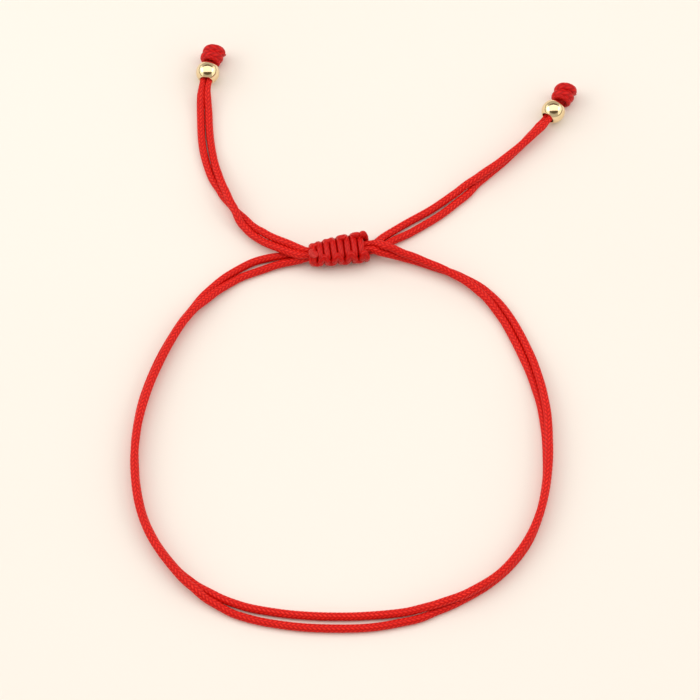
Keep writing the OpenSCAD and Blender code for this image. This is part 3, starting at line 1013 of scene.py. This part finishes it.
make_stopper("left_stopper_knot", "end_knot_left", LEFT_BEAD_AT, LEFT_BEAD_HEADING,
             lean=-8, width=3.95, length=3.3, roll=0, seed=41)
make_stopper("right_stopper_knot", "end_knot_right", RIGHT_BEAD_AT, RIGHT_BEAD_HEADING,
             lean=16, width=3.9, length=3.95, roll=15, seed=47)

# %% [markdown]
# ## Polished gold beads
# The beads are thin drilled balls. What makes them look turned from metal is the rim of
# the hole: it is never sharp, but rolls over into the bore and catches its own line of
# light. A ball with a hole cut through it has no such rim. So the profile is drawn once
# and spun round the bore, and kept dense, because a mirror shows every flat.

# %% Bead profile and mesh
RIM = 0.07
RIM_BULGE = 0.05
BEAD_ROUND = 96
WALL_STEPS = 36
FACE_STEPS = 5
LIP_STEPS = 6
BORE_STEPS = 8


def bead_profile():
    """Points of (along the bore, radius), once round the wall of the bead."""
    ball = BEAD_D / 2
    end = BEAD_L / 2
    bore = BORE_D / 2
    turn_in = end - RIM
    limit = math.asin(turn_in / ball)
    outer = [(ball * math.sin(t), ball * math.cos(t))
             for t in np.linspace(-limit, limit, WALL_STEPS)]
    face = (math.sqrt(ball * ball - end * end) + bore) / 2

    def curve(p, c, q, count):
        steps = np.linspace(0, 1, count + 1)[1:]
        return [tuple((1 - t) ** 2 * np.array(p) + 2 * t * (1 - t) * np.array(c)
                      + t * t * np.array(q)) for t in steps]

    rim = curve(outer[-1], (end, face + RIM_BULGE), (end, face), FACE_STEPS)
    rim += curve((end, face), (end, bore), (turn_in, bore), LIP_STEPS)
    inside = [(x, bore) for x in np.linspace(turn_in, -turn_in, BORE_STEPS)[1:-1]]
    far_rim = [(-x, r) for x, r in reversed(rim)]
    return outer + rim + inside + far_rim


def make_bead(name, node, at, heading, material):
    profile = np.array(bead_profile())
    angles = 2 * np.pi * np.arange(BEAD_ROUND) / BEAD_ROUND
    points = np.zeros((len(profile), BEAD_ROUND, 3))
    points[..., 0] = profile[:, 0][:, None]
    points[..., 1] = profile[:, 1][:, None] * np.cos(angles)
    points[..., 2] = profile[:, 1][:, None] * np.sin(angles)
    mesh = CordMesh()
    mesh.add_points(place_at(points.reshape(-1, 3), at, heading))
    p = np.arange(len(profile))[:, None]
    k = np.arange(BEAD_ROUND)
    after = (k + 1) % BEAD_ROUND
    ahead = (p + 1) % len(profile)
    corners = np.stack([p * BEAD_ROUND + k, ahead * BEAD_ROUND + k,
                        ahead * BEAD_ROUND + after, p * BEAD_ROUND + after], -1)
    u = np.broadcast_to(k / BEAD_ROUND, corners.shape[:2])
    v = np.broadcast_to(p / len(profile), corners.shape[:2])
    du, dv = 1 / BEAD_ROUND, 1 / len(profile)
    uv = corner_uv((u, v), (u, v + dv), (u + du, v + dv), (u + du, v))
    mesh.quads.append((corners.reshape(-1, 4), uv.reshape(-1, 4, 2), 0))
    dress(build_object(name, mesh, [material]), node)


# %% [markdown]
# ### Gold plate
# Polished plate is a mirror with a warm tint. Tiny scratches from polishing run round
# the bead, and handling leaves faint rubbed patches where the shine is softer. The
# scratches are a noise that is stretched round the bore. It reads the same UV map as
# the cords do, where u is the turn round the bead here.

# %% Gold material and beads
GOLD = (0.84, 0.66, 0.38, 1)
RUBBED_GOLD = (0.89, 0.73, 0.46, 1)
GOLD_ROUGH, SCRATCH_ROUGH, RUBBED_ROUGH = 0.06, 0.08, 0.05
SCRATCH_SCALE = (3.0, 260.0, 1.0)

gold, tree, shader = new_material("polished_gold_plate")
uv = tree.nodes.new("ShaderNodeUVMap")
uv.uv_map = "braid"
worn = wear_node(tree, patch_size=1.6 * MM, grain_size=0.2 * MM)
stretch = tree.nodes.new("ShaderNodeMapping")
feed(tree, stretch, {"Vector": uv.outputs[0], "Scale": SCRATCH_SCALE})
scratches = noise(tree, stretch.outputs[0], scale=1.0, detail=2.0, roughness=0.6)
colour = mix_colours(tree, worn.outputs["Patches"], GOLD, RUBBED_GOLD)
rough = calculate(tree, "MULTIPLY_ADD", scratches, SCRATCH_ROUGH, GOLD_ROUGH)
rubbed = calculate(tree, "MULTIPLY", worn.outputs["Patches"], RUBBED_ROUGH)
rough = calculate(tree, "ADD", rough, rubbed)
feed(tree, shader, {"Base Color": colour, "Metallic": 1, "Roughness": rough})
add_bump(tree, shader, scratches, strength=0.25, distance=0.002 * MM)

make_bead("left_gold_bead", "bead_left", LEFT_BEAD_AT, LEFT_BEAD_HEADING, gold)
make_bead("right_gold_bead", "bead_right", RIGHT_BEAD_AT, RIGHT_BEAD_HEADING, gold)

# %% [markdown]
# ## Floor and light
# The bracelet lies on a plain cream surface, which is large enough to fill every view.
# A pure white floor would outshine the cords, so it has a warm tone with faint clouds.

# %% Floor
FLOOR_HALF = 1.5
CREAM = (0.90, 0.848, 0.79, 1)
PALE_CREAM = (0.91, 0.86, 0.805, 1)
FLOOR_ROUGH, FLOOR_GRAIN = 0.8, 0.05

floor_data = bpy.data.meshes.new("floor")
corners = [(x * FLOOR_HALF, y * FLOOR_HALF, 0) for x, y in ((-1, -1), (1, -1), (1, 1), (-1, 1))]
floor_data.from_pydata(corners, [], [(0, 1, 2, 3)])
floor = bpy.data.objects.new("floor", floor_data)
bpy.context.scene.collection.objects.link(floor)
paper, tree, shader = new_material("cream_floor")
worn = wear_node(tree, patch_size=120 * MM, grain_size=0.8 * MM)
colour = mix_colours(tree, worn.outputs["Patches"], CREAM, PALE_CREAM)
rough = calculate(tree, "MULTIPLY_ADD", worn.outputs["Grain"], FLOOR_GRAIN, FLOOR_ROUGH)
feed(tree, shader, {"Base Color": colour, "Roughness": rough, "Specular IOR Level": 0.2})
floor_data.materials.append(paper)
print("floor", 2 * FLOOR_HALF, "m wide")

# %% [markdown]
# ### Light for cord and metal
# One long soft light hangs overhead, a little behind, so that shadows are short and
# soft and each bead shows one broad bright band. Cord needs no more, but a bead mirrors
# the whole room, and in an empty one it looks like plastic. So the world is a room of
# soft shades: pale round the horizon, dark overhead to set the band against, and bright
# at both sides above a low dark strip, which ends the band with a dark notch.

# %% Light and world
def soft_light(name, at, size, power, colour):
    """An area light at a place, turned to face the middle of the scene."""
    data = bpy.data.lights.new(name, "AREA")
    data.shape = "RECTANGLE"
    data.size, data.size_y = size
    data.energy = power
    data.color = colour
    light = bpy.data.objects.new(name, data)
    light.location = at
    light.rotation_euler = (-math.atan2(at[1], at[2]), math.atan2(at[0], at[2]), 0)
    bpy.context.scene.collection.objects.link(light)


soft_light("wide_softbox", at=(-0.05, 0.1, 0.62), size=(2.4, 0.72), power=8.2,
           colour=(1.0, 0.98, 0.96))

# where one shade eases into the next, as parts of a direction of length 1
OVERHEAD_EDGE = (0.5, 0.65)
SIDE_EDGE = (0.62, 0.72)
STRIP_EDGE = (0.1, 0.16)
PALE = (0.56, 0.53, 0.49, 1)
DARK_OVERHEAD = (0.12, 0.09, 0.06, 1)
DARK_LOW = (0.1, 0.08, 0.05, 1)
BRIGHT_SIDE = (1.35, 1.3, 1.2, 1)
world = bpy.data.worlds.new("studio")
bpy.context.scene.world = world
world.use_nodes = True
tree = world.node_tree
background = next(n for n in tree.nodes if n.type == "BACKGROUND")
direction = tree.nodes.new("ShaderNodeTexCoord")
split = tree.nodes.new("ShaderNodeSeparateXYZ")
feed(tree, split, {0: direction.outputs["Generated"]})
overhead = remap(tree, split.outputs[2], *OVERHEAD_EDGE)
sky = mix_colours(tree, overhead, PALE, DARK_OVERHEAD)
sideways = calculate(tree, "ABSOLUTE", split.outputs[0])
at_side = remap(tree, sideways, *SIDE_EDGE)
above_strip = remap(tree, split.outputs[2], *STRIP_EDGE)
sides = mix_colours(tree, above_strip, DARK_LOW, BRIGHT_SIDE)
sky = mix_colours(tree, at_side, sky, sides)
feed(tree, background, {"Color": sky, "Strength": 1})
bpy.context.scene.view_settings.view_transform = "Standard"
